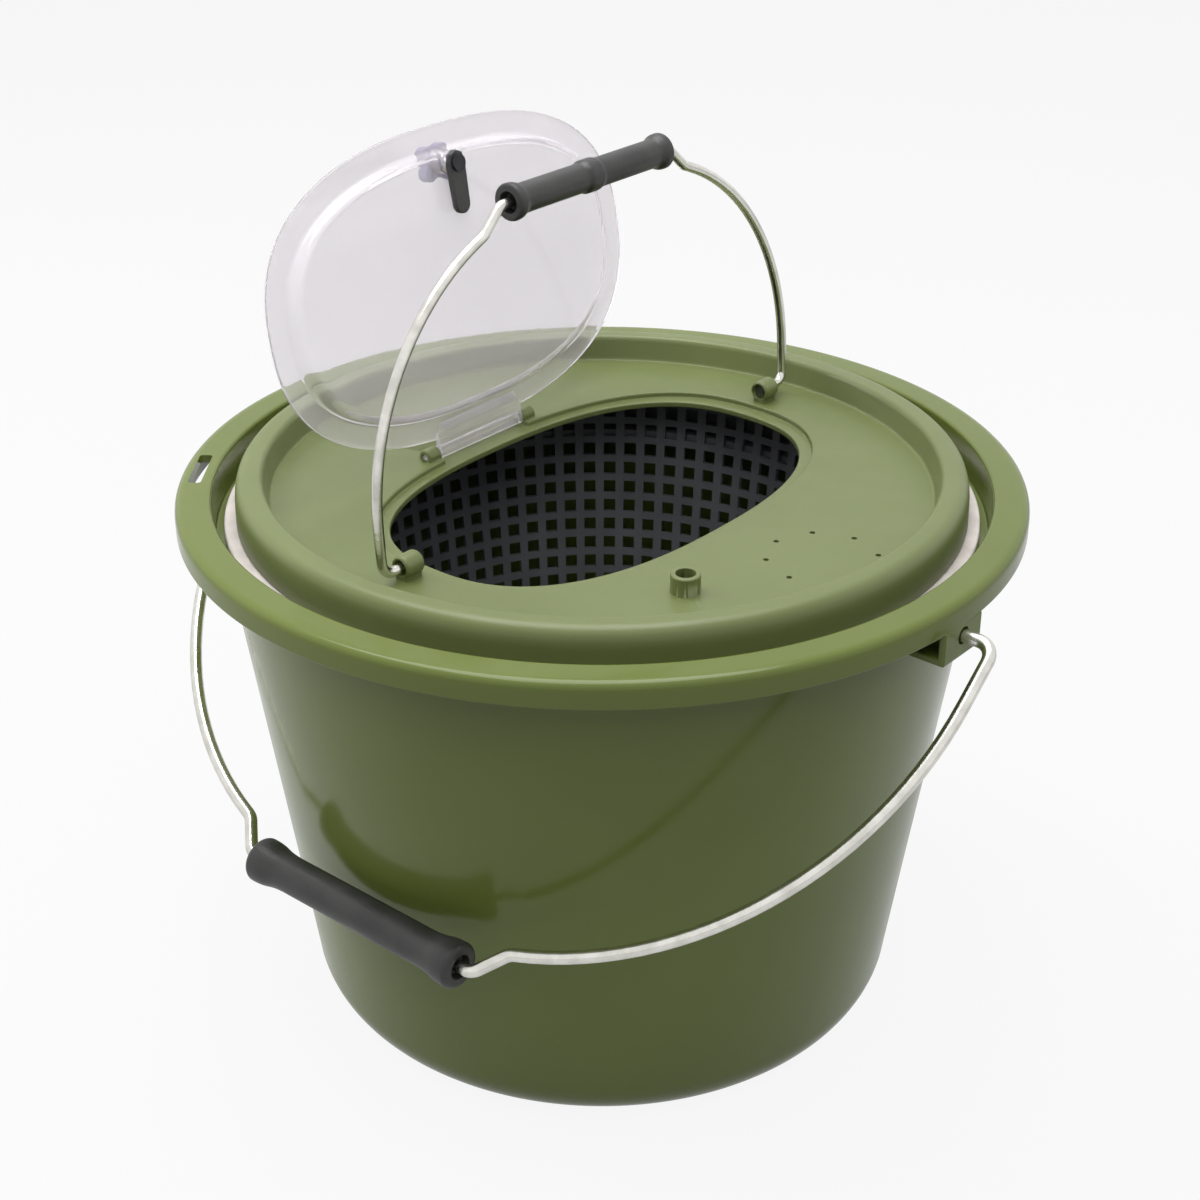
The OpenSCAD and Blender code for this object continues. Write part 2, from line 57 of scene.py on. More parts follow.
FULL = 2.5
HINGE = Vector((-60.0, 0.0, 202.2))
LID_OPEN = math.radians(100)
LID_TOP, LID_LOW, DISH_LOW, LATCH_LOW = 200.9, 199.3, 195.0, 193.5
LATCH_X = 41.5
LEVER_TOP = LATCH_LOW - 0.3
LEVER_LOW = LEVER_TOP - 2.5
COVER_LOW_Z = 195.4
RING_TOP_Z = 195.0
RING_LOW_Z = 174.0
BOSS_Y, BOSS_LEN = 93.8, 8.0
INNER_PIVOT_Z = 205.5
OUTER_PIVOT_Z = 191.0
WIRE_OUTER_R, WIRE_INNER_R = 2.25, 1.75
OUTER_GRIP = (0, -129.783, 85.903)
INNER_GRIP = (-6.441, 0, 310.803)
TAB_HALF = 22.0
KNUCKLE_Y = 22.6
LATCH_SHAFT_R = 2.5
NIPPLE = (75.0, -48.0)
SLOT_ANGLE = 218.6


# Shapes
def arc(cx, cy, r, start, end, count=10):
    """Points of an arc about a centre, angles in degrees."""
    step = (end - start) / count
    turns = [math.radians(start + step * i) for i in range(count + 1)]
    return [(cx + r * math.cos(t), cy + r * math.sin(t)) for t in turns]


def rounded(corners, steps=5, closed=False):
    """A line through corners whose last number is the size of the round at that corner."""
    out = []
    count = len(corners)
    for i, corner in enumerate(corners):
        here, size = Vector(corner[:-1]), corner[-1]
        if size <= 0 or (not closed and i in (0, count - 1)):
            out.append(here)
            continue
        before = Vector(corners[i - 1][:-1]) - here
        after = Vector(corners[(i + 1) % count][:-1]) - here
        a = here + before.normalized() * min(size, before.length * 0.48)
        b = here + after.normalized() * min(size, after.length * 0.48)
        for k in range(steps + 1):
            t = k / steps
            out.append(a * (1 - t) ** 2 + here * (2 * t * (1 - t)) + b * t ** 2)
    return [tuple(p) for p in out]


def make(name, points, faces):
    """A mesh object from points in millimetres, with its normals outward."""
    mesh = bpy.data.meshes.new(name)
    mesh.from_pydata([(p[0] * MM, p[1] * MM, p[2] * MM) for p in points], [], faces)
    obj = bpy.data.objects.new(name, mesh)
    bpy.context.scene.collection.objects.link(obj)
    outward(obj)
    soften(obj)
    return obj


def outward(obj):
    """Joins points that coincide and turns every face outward."""
    bm = bmesh.new()
    bm.from_mesh(obj.data)
    bmesh.ops.remove_doubles(bm, verts=bm.verts, dist=1e-6)
    bmesh.ops.recalc_face_normals(bm, faces=bm.faces)
    bm.to_mesh(obj.data)
    bm.free()


def soften(obj, angle=35):
    """Smooth shading, with edges sharper than the angle kept sharp."""
    obj.data.shade_smooth()
    obj.data.set_sharp_from_angle(angle=math.radians(angle))


def loft(name, rings, closed):
    """Rings of equal count joined in order. A ring of one point closes an end."""
    points, starts, faces = [], [], []
    for ring in rings:
        starts.append(len(points))
        points.extend(ring)
    pairs = list(zip(range(len(rings) - 1), range(1, len(rings))))
    if closed:
        pairs.append((len(rings) - 1, 0))
    for a, b in pairs:
        na, nb, sa, sb = len(rings[a]), len(rings[b]), starts[a], starts[b]
        n = max(na, nb)
        for i in range(n):
            j = (i + 1) % n
            if na == 1:
                faces.append((sa, sb + i, sb + j))
            elif nb == 1:
                faces.append((sa + i, sa + j, sb))
            else:
                faces.append((sa + i, sa + j, sb + j, sb + i))
    return make(name, points, faces)


def lathe(name, profile, segments=192, closed=False, place=Matrix.Identity(4)):
    """A profile of (radius, height) turned about Z, then placed."""
    rings = []
    for r, z in profile:
        if r < 1e-6:
            rings.append([place @ Vector((0, 0, z))])
        else:
            turns = [2 * math.pi * i / segments for i in range(segments)]
            rings.append([place @ Vector((r * math.cos(t), r * math.sin(t), z)) for t in turns])
    return loft(name, rings, closed)


def oval_reach(turn, a, b, power):
    """Distance from the centre to a full oval, half width b along X and half length a along Y."""
    c, s = abs(math.cos(turn)) / b, abs(math.sin(turn)) / a
    return (c ** power + s ** power) ** (-1 / power)


def oval_loft(name, corners, closed, segments):
    """Corners of (half length, half width, height, fullness, round) swept round an oval."""
    rings = []
    for a, b, z, power in rounded(corners, 5, closed):
        if a < 1e-6:
            rings.append([(0, 0, z)])
            continue
        turns = [2 * math.pi * i / segments for i in range(segments)]
        rings.append([(oval_reach(t, a, b, power) * math.cos(t),
                       oval_reach(t, a, b, power) * math.sin(t), z) for t in turns])
    return loft(name, rings, closed)


def block(name, low, high, bevel):
    """A box between two corners, with its edges rounded."""
    xs, ys, zs = zip(low, high)
    points = [(x, y, z) for x in xs for y in ys for z in zs]
    faces = [(0, 1, 3, 2), (4, 6, 7, 5), (0, 4, 5, 1), (2, 3, 7, 6), (0, 2, 6, 4), (1, 5, 7, 3)]
    return bevelled(make(name, points, faces), bevel)


def bevelled(obj, width):
    """Rounds every edge that turns by more than 40 degrees."""
    edge = obj.modifiers.new("edge", "BEVEL")
    edge.width = width * MM
    edge.segments = 3
    edge.limit_method = "ANGLE"
    edge.angle_limit = math.radians(40)
    applied(obj)
    soften(obj)
    return obj


def applied(obj):
    """The object's modifiers are worked into its mesh."""
    bpy.context.view_layer.update()
    graph = bpy.context.evaluated_depsgraph_get()
    mesh = bpy.data.meshes.new_from_object(obj.evaluated_get(graph))
    obj.modifiers.clear()
    obj.data = mesh
    return obj


def combine(base, others, how):
    """Joins others to the base, or cuts them out of it, as solids."""
    for other in others:
        step = base.modifiers.new("solid", "BOOLEAN")
        step.operation = how
        step.solver = "EXACT"
        step.object = other
        applied(base)
        bpy.data.objects.remove(other)
    soften(base)
    level = base.modifiers.new("level", "WEIGHTED_NORMAL")
    level.keep_sharp = True
    level.weight = 100
    return applied(base)


def drum(name, r, start, end, round_size=0.0, segments=48):
    """A round solid along the line from start to end."""
    start, end = Vector(start), Vector(end)
    length = (end - start).length
    turn = (end - start).to_track_quat("Z", "Y").to_matrix().to_4x4()
    corners = [(0, 0, 0), (r, 0, round_size), (r, length, round_size), (0, length, 0)]
    return lathe(name, rounded(corners, 4), segments, False, Matrix.Translation(start) @ turn)


def along_y(name, r, x, z, start, end, round_size=0.0):
    """A drum that lies along Y."""
    return drum(name, r, (x, start, z), (x, end, z), round_size)


def upright(name, r, x, y, low, high, round_size=0.0, segments=48):
    """A drum that stands along Z."""
    return drum(name, r, (x, y, low), (x, y, high), round_size, segments)


def turned(obj, angle):
    """Turns a piece about Z by an angle in degrees."""
    obj.data.transform(Matrix.Rotation(math.radians(angle), 4, "Z"))


# Materials are node trees on Object coordinates
def socket(tree, name, kind, way, value=None):
    """A named input or output of a node group, with its default where it has one."""
    item = tree.interface.new_socket(name, in_out=way, socket_type="NodeSocket" + kind)
    if value is not None:
        item.default_value = value


def grain_group():
    """Colour, roughness and height of a moulded or foamed surface."""
    tree = bpy.data.node_groups.new("moulded_grain", "ShaderNodeTree")
    socket(tree, "Vector", "Vector", "INPUT")
    socket(tree, "Light colour", "Color", "INPUT", (0.8, 0.8, 0.8, 1))
    socket(tree, "Dark colour", "Color", "INPUT", (0.6, 0.6, 0.6, 1))
    socket(tree, "Mottle scale", "Float", "INPUT", 20.0)
    socket(tree, "Grain scale", "Float", "INPUT", 900.0)
    socket(tree, "Rough low", "Float", "INPUT", 0.35)
    socket(tree, "Rough high", "Float", "INPUT", 0.5)
    socket(tree, "Colour", "Color", "OUTPUT")
    socket(tree, "Roughness", "Float", "OUTPUT")
    socket(tree, "Height", "Float", "OUTPUT")
    nodes, link = tree.nodes, tree.links.new
    enter, leave = nodes.new("NodeGroupInput"), nodes.new("NodeGroupOutput")
    mottle, grain, streak = (nodes.new("ShaderNodeTexNoise") for _ in range(3))
    mottle.inputs["Detail"].default_value = 4
    grain.inputs["Detail"].default_value = 2
    streak.inputs["Scale"].default_value = 55
    streak.inputs["Detail"].default_value = 5
    for noise in (mottle, grain, streak):
        link(enter.outputs["Vector"], noise.inputs["Vector"])
    link(enter.outputs["Mottle scale"], mottle.inputs["Scale"])
    link(enter.outputs["Grain scale"], grain.inputs["Scale"])
    spread = nodes.new("ShaderNodeMapRange")
    spread.inputs["From Min"].default_value = 0.35
    spread.inputs["From Max"].default_value = 0.65
    link(mottle.outputs["Fac"], spread.inputs["Value"])
    mix = nodes.new("ShaderNodeMix")
    mix.data_type = "RGBA"
    link(spread.outputs["Result"], mix.inputs["Factor"])
    link(enter.outputs["Dark colour"], mix.inputs["A"])
    link(enter.outputs["Light colour"], mix.inputs["B"])
    rough = nodes.new("ShaderNodeMapRange")
    rough.inputs["From Min"].default_value = 0.3
    rough.inputs["From Max"].default_value = 0.7
    link(streak.outputs["Fac"], rough.inputs["Value"])
    link(enter.outputs["Rough low"], rough.inputs["To Min"])
    link(enter.outputs["Rough high"], rough.inputs["To Max"])
    link(mix.outputs["Result"], leave.inputs["Colour"])
    link(rough.outputs["Result"], leave.inputs["Roughness"])
    link(grain.outputs["Fac"], leave.inputs["Height"])
    return tree


def wear_group():
    """Lightens a colour along worn edges, broken up by noise."""
    tree = bpy.data.node_groups.new("edge_wear", "ShaderNodeTree")
    socket(tree, "Vector", "Vector", "INPUT")
    socket(tree, "Colour", "Color", "INPUT", (0.5, 0.5, 0.5, 1))
    socket(tree, "Worn colour", "Color", "INPUT", (0.8, 0.8, 0.8, 1))
    socket(tree, "Amount", "Float", "INPUT", 0.3)
    socket(tree, "Colour", "Color", "OUTPUT")
    nodes, link = tree.nodes, tree.links.new
    enter, leave = nodes.new("NodeGroupInput"), nodes.new("NodeGroupOutput")
    shape = nodes.new("ShaderNodeNewGeometry")
    edge = nodes.new("ShaderNodeMapRange")
    edge.inputs["From Min"].default_value = 0.51
    edge.inputs["From Max"].default_value = 0.58
    link(shape.outputs["Pointiness"], edge.inputs["Value"])
    breakup = nodes.new("ShaderNodeTexNoise")
    breakup.inputs["Scale"].default_value = 120
    breakup.inputs["Detail"].default_value = 5
    link(enter.outputs["Vector"], breakup.inputs["Vector"])
    product = nodes.new("ShaderNodeMath")
    product.operation = "MULTIPLY"
    link(edge.outputs["Result"], product.inputs[0])
    link(breakup.outputs["Fac"], product.inputs[1])
    scaled = nodes.new("ShaderNodeMath")
    scaled.operation = "MULTIPLY"
    link(product.outputs[0], scaled.inputs[0])
    link(enter.outputs["Amount"], scaled.inputs[1])
    mix = nodes.new("ShaderNodeMix")
    mix.data_type = "RGBA"
    link(scaled.outputs[0], mix.inputs["Factor"])
    link(enter.outputs["Colour"], mix.inputs["A"])
    link(enter.outputs["Worn colour"], mix.inputs["B"])
    link(mix.outputs["Result"], leave.inputs["Colour"])
    return tree


GRAIN = grain_group()
WEAR = wear_group()


def material(name, light, dark, rough, mottle=20, grain=900, bump=0.1, worn=None, metallic=0.0,
             stretch=(1, 1, 1), sockets=None):
    """A finish: grain in two tones, optional edge wear, bump, and plain shader settings."""
    mat = bpy.data.materials.new(name)
    mat.use_nodes = True
    nodes, link = mat.node_tree.nodes, mat.node_tree.links.new
    shader = nodes["Principled BSDF"]
    place = nodes.new("ShaderNodeTexCoord")
    scale = nodes.new("ShaderNodeMapping")
    scale.inputs["Scale"].default_value = stretch
    link(place.outputs["Object"], scale.inputs["Vector"])
    grained = nodes.new("ShaderNodeGroup")
    grained.node_tree = GRAIN
    link(scale.outputs["Vector"], grained.inputs["Vector"])
    values = {"Light colour": (*light, 1), "Dark colour": (*dark, 1), "Mottle scale": mottle,
              "Grain scale": grain, "Rough low": rough[0], "Rough high": rough[1]}
    for key, value in values.items():
        grained.inputs[key].default_value = value
    colour = grained.outputs["Colour"]
    if worn:
        wear = nodes.new("ShaderNodeGroup")
        wear.node_tree = WEAR
        link(place.outputs["Object"], wear.inputs["Vector"])
        link(colour, wear.inputs["Colour"])
        wear.inputs["Worn colour"].default_value = (*worn[0], 1)
        wear.inputs["Amount"].default_value = worn[1]
        colour = wear.outputs["Colour"]
    link(colour, shader.inputs["Base Color"])
    link(grained.outputs["Roughness"], shader.inputs["Roughness"])
    lift = nodes.new("ShaderNodeBump")
    lift.inputs["Strength"].default_value = bump
    lift.inputs["Distance"].default_value = 0.0004
    link(grained.outputs["Height"], lift.inputs["Height"])
    link(lift.outputs["Normal"], shader.inputs["Normal"])
    shader.inputs["Metallic"].default_value = metallic
    for key, value in (sockets or {}).items():
        shader.inputs[key].default_value = value
    return mat


GREEN = material("olive_polypropylene", (0.118, 0.152, 0.034), (0.104, 0.136, 0.028), (0.12, 0.19),
                 mottle=9, grain=620, bump=0.07, sockets={"Specular IOR Level": 0.30})
SATIN = material("satin_olive_polypropylene", (0.125, 0.152, 0.052), (0.112, 0.138, 0.045), (0.36, 0.46),
                 mottle=9, grain=1500, bump=0.12)
BLACK = material("black_grip_plastic", (0.034, 0.033, 0.032), (0.020, 0.020, 0.020), (0.36, 0.52),
                 mottle=60, grain=1100, bump=0.28, worn=((0.08, 0.08, 0.078), 0.5))
DARK = material("dark_grey_mesh", (0.150, 0.155, 0.166), (0.120, 0.124, 0.132), (0.36, 0.50),
                mottle=40, grain=800, bump=0.12)
FOAM = material("pale_foam", (0.72, 0.66, 0.63), (0.60, 0.55, 0.52), (0.75, 0.9), mottle=90, grain=650,
                bump=0.7)
WIRE = material("zinc_wire", (0.78, 0.77, 0.72), (0.64, 0.63, 0.58), (0.16, 0.28), mottle=160, grain=1400,
                bump=0.10, metallic=1.0)
STEEL = material("bright_screw_steel", (0.70, 0.70, 0.70), (0.58, 0.58, 0.58), (0.2, 0.32), mottle=200,
                 grain=1200, bump=0.05, metallic=1.0)
DULL = material("blackened_screw_steel", (0.060, 0.060, 0.064), (0.040, 0.040, 0.044), (0.3, 0.42),
                mottle=200, grain=1200, bump=0.05, metallic=0.8)
SMOKY = material("smoky_violet_plastic", (0.175, 0.165, 0.290), (0.150, 0.140, 0.250), (0.22, 0.34),
                 mottle=60, grain=900, bump=0.05)
MILKY = material("milky_polypropylene", (0.965, 0.935, 0.965), (0.95, 0.92, 0.955), (0.03, 0.06),
                 mottle=14, grain=700, bump=0.02, sockets={"Transmission Weight": 0.80, "IOR": 1.30})


# Outer bucket
def wall_r(z):
    """Outer radius of the tapered wall at a height."""
    return WALL_LOW_R + (WALL_TOP_R - WALL_LOW_R) * z / SKIRT_LOW_Z


def bucket():
    """The tapered wall with its rolled skirt, two lugs for the bail and the slot in the rim."""
    base_round = 19.0
    inner_round = base_round - WALL_T
    floor_r = wall_r(base_round) - base_round
    floor_z, hollow_z = 5.4, 3.0
    skirt_in, skirt_top, band_top = RIM_R - WALL_T, 201.0, 201.4
    ledge_out, ledge_in, ledge_foot = 136.6, 130.4, 185.9
    lower = [(0, hollow_z, 0), (floor_r - 14, hollow_z, 1.2), (floor_r - 12, 0, 0.8), (floor_r - 1, 0, 0)]
    outside = [(wall_r(z), z, 0) for z in (60, 120, 180)]
    top = [(wall_r(BAND_LOW), BAND_LOW, 1.0), (BAND_R, BAND_LOW + 0.8, 0.8), (BAND_R, band_top, 1.4),
           (skirt_in, skirt_top, 1.4), (skirt_in, SKIRT_LOW_Z, 0.7), (RIM_R, SKIRT_LOW_Z, 0.7),
           (RIM_R, RIM_Z, 3.4), (MOUTH_R, RIM_Z, 1.2), (ledge_out, LEDGE_Z, 0.8), (ledge_in, LEDGE_Z, 0.8),
           (ledge_in, LEDGE_Z - 3, 0.8), (wall_r(ledge_foot) - WALL_T, ledge_foot, 1.0)]
    inside = [(wall_r(z) - WALL_T, z, 0) for z in (120, 60, 24)]
    profile = (rounded(lower, 4) + arc(floor_r, base_round, base_round, -90, -4, 14)
               + rounded(outside + top + inside, 5)
               + arc(floor_r, floor_z + inner_round, inner_round, -4, -90, 14) + [(0, floor_z)])
    body = lathe("outer_bucket_moulding", profile, 224)
    lug_half, lug_in, lug_top, lug_low = 11.0, 147.4, 195.6, OUTER_PIVOT_Z - 7.5
    web_in, web_t = wall_r(lug_low) - 1.2, 2.6
    for angle in (0, 180):
        plate = block("lug_plate", (lug_in, -lug_half, lug_low), (RIM_R, lug_half, lug_top), 0.7)
        web = block("lug_web", (web_in, -lug_half, lug_low), (RIM_R, lug_half, lug_low + web_t), 0.7)
        hole = drum("lug_hole", 3.1, (lug_in - 7, 0, OUTER_PIVOT_Z), (RIM_R + 2, 0, OUTER_PIVOT_Z))
        for piece in (plate, web, hole):
            turned(piece, angle)
        combine(body, [plate, web], "UNION")
        combine(body, [hole], "DIFFERENCE")
    slot_in, slot_out, slot_half = 141.2, 145.8, 12.0
    slot = block("slot_cut", (slot_in, -slot_half, 190), (slot_out, slot_half, 208), 1.2)
    turned(slot, SLOT_ANGLE)
    return combine(body, [slot], "DIFFERENCE")


# Cover of the insert: one surface that turns from the oval opening to the round crest
def cover():
    """The moulding with its knuckles, bosses, nipple and keeper, and every hole in it."""
    circle = 2.0
    under_z, crest_under = 198.6, 208.1
    lip_a, lip_b = REBATE_A + 2.4, REBATE_B + 2.4
    round_steps = [(116.2, DECK_Z, 0), (117.4, DECK_Z, 1.4), (119.4, CREST_Z, 2.2), (129.0, CREST_Z, 6.8),
                   (129.4, COVER_LOW_Z, 0.7), (127.0, COVER_LOW_Z, 0.7), (126.6, crest_under, 4.0),
                   (121.4, crest_under, 1.0), (119.8, under_z, 0.8)]
    corners = [
        (OPEN_A, OPEN_B, LIP_LOW_Z, FULL, 0.5), (OPEN_A, OPEN_B, REBATE_Z, FULL, 0.7),
        (REBATE_A, REBATE_B, REBATE_Z, FULL, 0.5), (REBATE_A, REBATE_B, DECK_Z, FULL, 0.9),
        (94.5, 62.0, DECK_Z, FULL, 0), (104.0, 86.0, DECK_Z, 2.3, 0), (112.0, 108.0, DECK_Z, 2.1, 0)]
    corners += [(r, r, z, circle, size) for r, z, size in round_steps]
    corners += [(112.0, 100.0, under_z, 2.1, 0), (lip_a, lip_b, under_z, FULL, 0.4),
                (lip_a, lip_b, LIP_LOW_Z, FULL, 0.5)]
    body = oval_loft("top_cover_moulding", corners, True, 288)
    added, cut = [], []
    # Feet start a little below the deck, so that they join it
    foot_z, knuckle_len = 200.2, 6.0
    for side in (1, -1):
        y0, y1 = sorted((side * KNUCKLE_Y, side * (KNUCKLE_Y + knuckle_len)))
        added.append(along_y("knuckle", 3.0, HINGE.x, HINGE.z, y0, y1, 0.9))
        low, high = (HINGE.x - 3, y0 + 0.2, foot_z), (HINGE.x + 3, y1 - 0.2, HINGE.z)
        added.append(block("knuckle_foot", low, high, 0.3))
        y0, y1 = sorted((side * BOSS_Y, side * (BOSS_Y + BOSS_LEN)))
        added.append(along_y("boss", 4.0, 0, INNER_PIVOT_Z, y0, y1, 1.2))
        low, high = (-2.6, y0 + 0.3, foot_z), (2.6, y1 - 0.3, INNER_PIVOT_Z)
        added.append(block("boss_foot", low, high, 0.4))
        near, far = side * (BOSS_Y - 1), side * (BOSS_Y + BOSS_LEN + 1)
        cut.append(along_y("boss_bore", 1.83, 0, INNER_PIVOT_Z, near, far))
        for start, depth in ((near, 3.2), (far, -3.6)):
            cut.append(along_y("boss_recess", 2.9, 0, INNER_PIVOT_Z, start, start + side * depth))
    pad_half, keeper_half = 24.6, 14.0
    added.append(block("hinge_pad", (-64.5, -pad_half, LIP_LOW_Z), (-56.0, pad_half, 200.4), 0.3))
    # The keeper's top stays under the rebate's floor, clear of the closed lid
    low = (OPEN_B + 0.4, -keeper_half, LATCH_LOW + 0.1)
    high = (OPEN_B + 9.4, keeper_half, REBATE_Z - 0.1)
    added.append(block("latch_keeper", low, high, 0.2))
    added.append(upright("nipple", 5.0, *NIPPLE, 200.0, 207.4, 0.8))
    screw_r = 113.35
    for i in range(4):
        t = math.radians(45 + 90 * i)
        x, y = screw_r * math.cos(t), screw_r * math.sin(t)
        added.append(upright("screw_boss", 3.4, x, y, 192.0, 199.4, 0.3))
    notch_low, notch_high = (-63, -KNUCKLE_Y, REBATE_Z), (-52.5, KNUCKLE_Y, 206)
    cut.append(block("hinge_notch", notch_low, notch_high, 0.5))
    cut.append(along_y("hinge_bore", 1.58, HINGE.x, HINGE.z, -29.6, 29.6))
    cut.append(upright("air_bore", 3.4, *NIPPLE, 195, 210))
    vent_x, vent_ring, vents = 95.0, 18.8, 8
    for i in range(vents):
        t = math.radians(45 + 360 / vents * i)
        x, y = vent_x + vent_ring * math.cos(t), vent_ring * math.sin(t)
        cut.append(upright("vent", 1.0, x, y, 196, 204, 0, 20))
    combine(body, added, "UNION")
    return combine(body, cut, "DIFFERENCE")


# Lid, drawn closed and then swung open
SWING = (Matrix.Translation(HINGE) @ Matrix.Rotation(-LID_OPEN, 4, "Y") @ Matrix.Translation(-HINGE))


def swing(obj):
    """Swings a piece that was drawn on the closed lid to where the open lid holds it."""
    scale = Matrix.Diagonal((MM, MM, MM, 1))
    obj.data.transform(scale @ SWING @ scale.inverted())
    return obj


def lid():
    """The dished lid with its flange, hinge tab, pivot stubs and latch boss."""
    a, b, flange = 90.0, 55.0, 9.8
    flat_a, flat_b = 40.0, 22.0
    da, db, t = a - flange, b - flange, LID_TOP - LID_LOW
    dish_top = DISH_LOW + t
    corners = [(0, 0, dish_top, FULL, 0), (flat_a, flat_b, dish_top, FULL, 0),
               (da - t, db - t, dish_top, FULL, 2.4), (da - 0.2, db - 0.2, LID_TOP - 0.3, FULL, 1.6),
               (a - 1.4, b - 1.4, LID_TOP, FULL, 0.4), (a, b, LID_TOP - 0.1, FULL, 0.6),
               (a, b, LID_LOW, FULL, 0.5), (da + 1.4, db + 1.4, LID_LOW, FULL, 1.6),
               (da + 0.2, db + 0.2, DISH_LOW, FULL, 2.6), (flat_a, flat_b, DISH_LOW, FULL, 0),
               (0, 0, DISH_LOW, FULL, 0)]
    body = oval_loft("lid_moulding", corners, False, 256)
    stub_half = 28.1
    tab = block("lid_tab", (HINGE.x, -TAB_HALF, 199.8), (-52.5, TAB_HALF, 202.0), 0.5)
    barrel = along_y("lid_barrel", 2.4, HINGE.x, HINGE.z, -TAB_HALF, TAB_HALF, 0.5)
    stubs = along_y("lid_stubs", 1.5, HINGE.x, HINGE.z, -stub_half, stub_half, 0.4)
    boss = upright("lid_boss", 4.0, LATCH_X, 0, LATCH_LOW, LID_TOP, 0.6)
    combine(body, [tab, barrel, stubs, boss], "UNION")
    bore = upright("lid_bore", 2.58, LATCH_X, 0, LATCH_LOW - 2, LID_TOP + 2)
    return swing(combine(body, [bore], "DIFFERENCE"))


def knob():
    """Four-lobed knob with the shaft that runs through the lid."""
    count, core_r, lobe_r = 96, 4.7, 3.2
    rings = []
    low, high = LID_TOP + 0.3, LID_TOP + 5.2
    for grow, z in [(-0.5, low), (0, low + 0.5), (0, high - 1.2), (-0.3, high - 0.4), (-0.9, high)]:
        ring = []
        for i in range(count):
            t = 2 * math.pi * i / count
            lobe = abs(math.cos(2 * (t - math.pi / 4))) ** 1.5
            r = core_r + lobe_r * lobe + grow
            ring.append((LATCH_X + r * math.cos(t), r * math.sin(t), z))
        rings.append(ring)
    star = loft("latch_knob_star", [[(LATCH_X, 0, low)]] + rings + [[(LATCH_X, 0, high)]], False)
    shaft = upright("latch_shaft", LATCH_SHAFT_R, LATCH_X, 0, LEVER_LOW, low + 1, 0.2)
    hole = upright("latch_shaft_hole", 0.92, LATCH_X, 0, LEVER_LOW - 1, LEVER_LOW + 8, 0, 24)
    combine(star, [shaft], "UNION")
    return swing(combine(star, [hole], "DIFFERENCE"))


def lever():
    """Latch lever: a six-sided hub and an arm with a round end, with softened edges."""
    arm, end_r = 14.5, 3.5
    hub = ((0.0, -4.0), (3.4, -3.0), (4.6, 0.0), (3.4, 3.0), (0.0, 4.0))
    outline = [(LATCH_X + x, y) for x, y in hub] + arc(LATCH_X - arm, 0, end_r, 90, 270, 14)
    count = len(outline)
    points = [(x, y, z) for z in (LEVER_LOW, LEVER_TOP) for x, y in outline]
    faces = [tuple(range(count))[::-1], tuple(range(count, 2 * count))]
    faces += [(i, (i + 1) % count, count + (i + 1) % count, count + i) for i in range(count)]
    body = bevelled(make("latch_lever_moulding", points, faces), 0.5)
    hole = upright("lever_hole", LATCH_SHAFT_R, LATCH_X, 0, LEVER_LOW - 1, LEVER_TOP + 1, 0, 40)
    return swing(combine(body, [hole], "DIFFERENCE"))


# Grips, turned about their own wires
def grip(name, centre, axis, half_profile, wire_r, mouth):
    """A grip that turns on its wire, with a bore that widens to a mouth at both ends."""
    turn = Vector(axis).to_track_quat("Z", "Y").to_matrix().to_4x4()
    bore = wire_r + 0.08
    mouth_deep, bore_deep = 3.5, 5.0
    end = half_profile[-1][1]
    upper = half_profile + [(mouth, end, 0.4), (mouth, end - mouth_deep, 0.3), (bore, end - bore_deep, 0.3)]
    corners = [(r, -z, size) for r, z, size in reversed(upper)] + upper
    return lathe(name, rounded(corners, 6, True), 72, True, Matrix.Translation(Vector(centre)) @ turn)


# Perforated basket, made by a tree that wraps a pierced grid round a cone
def pierced(tree, columns, rows, hole, tall=1.0):
    """Nodes for a flat grid 1 m wide whose cells each have a hole, stretched upward by tall."""
    nodes, link = tree.nodes, tree.links.new
    grid = nodes.new("GeometryNodeMeshGrid")
    grid.inputs["Size X"].default_value = 1.0
    grid.inputs["Size Y"].default_value = 1.0
    for source, target in ((columns, "Vertices X"), (rows, "Vertices Y")):
        plus = nodes.new("ShaderNodeMath")
        link(source, plus.inputs[0])
        plus.inputs[1].default_value = 1
        link(plus.outputs[0], grid.inputs[target])
    push = nodes.new("GeometryNodeExtrudeMesh")
    push.mode = "FACES"
    push.inputs["Offset Scale"].default_value = 0.0
    push.inputs["Individual"].default_value = True
    shrink, stretch = nodes.new("GeometryNodeScaleElements"), nodes.new("GeometryNodeScaleElements")
    stretch.scale_mode = "SINGLE_AXIS"
    stretch.inputs["Scale"].default_value = tall
    stretch.inputs["Axis"].default_value = (0, 1, 0)
    drop = nodes.new("GeometryNodeDeleteGeometry")
    drop.domain = "FACE"
    link(grid.outputs["Mesh"], push.inputs["Mesh"])
    link(push.outputs["Mesh"], shrink.inputs["Geometry"])
    link(push.outputs["Top"], shrink.inputs["Selection"])
    link(hole, shrink.inputs["Scale"])
    link(shrink.outputs["Geometry"], stretch.inputs["Geometry"])
    link(push.outputs["Top"], stretch.inputs["Selection"])
    link(stretch.outputs["Geometry"], drop.inputs["Geometry"])
    link(push.outputs["Top"], drop.inputs["Selection"])
    return drop.outputs["Geometry"]


def blend_between(tree, share, low, high):
    """Nodes that turn a grid coordinate, from -0.5 to 0.5, into a value between low and high."""
    node = tree.nodes.new("ShaderNodeMapRange")
    tree.links.new(share, node.inputs["Value"])
    node.inputs["From Min"].default_value = -0.5
    node.inputs["From Max"].default_value = 0.5
    tree.links.new(low, node.inputs["To Min"])
    tree.links.new(high, node.inputs["To Max"])
    return node.outputs["Result"]


